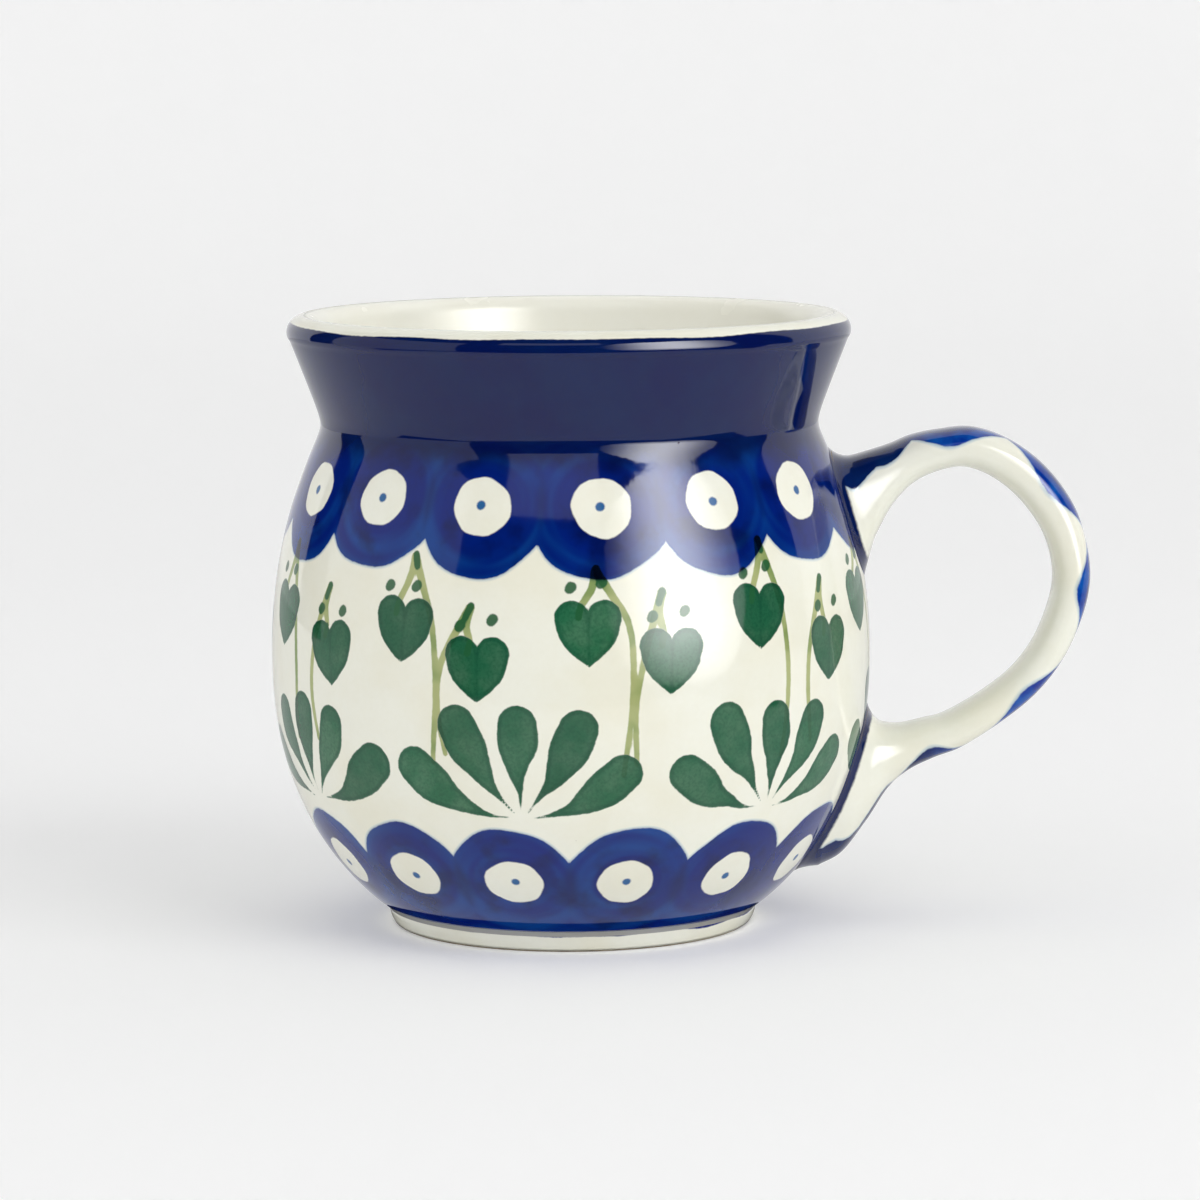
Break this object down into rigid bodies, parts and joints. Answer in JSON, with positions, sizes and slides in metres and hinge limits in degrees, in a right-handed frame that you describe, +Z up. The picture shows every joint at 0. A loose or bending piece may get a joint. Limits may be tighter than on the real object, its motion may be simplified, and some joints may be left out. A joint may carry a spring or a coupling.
{
  "type": "stoneware mug",
  "caption": "Round-bellied stoneware mug with a flared neck, rounded lip, foot ring and a looped strap handle, hand painted under a clear glaze.",
  "frame": {"origin": "centre of the foot ring, on the plane the mug stands on", "axes": "+Z up through the mouth; +X out through the middle of the handle; +Y across it, to the left of the handle seen from the cup"},
  "size_m": [0.1339, 0.0978, 0.1],
  "materials": {
    "stoneware": "fired bare clay, matt",
    "slip": "fired slip, matt",
    "painted_glaze": "clear gloss glaze over cobalt and green underglaze painting on a cream ground",
    "clear_glaze": "clear gloss glaze over cream",
    "handle_glaze": "clear gloss glaze over cream, cobalt strokes along the back"
  },
  "bodies": {
    "root": {"cup_body": "stoneware", "handle": "stoneware", "upper_joint_slip": "slip", "lower_joint_slip": "slip", "outside_glaze": "painted_glaze", "inside_glaze": "clear_glaze", "handle_glaze": "handle_glaze", "base_glaze": "clear_glaze"}
  },
  "joints": []
}
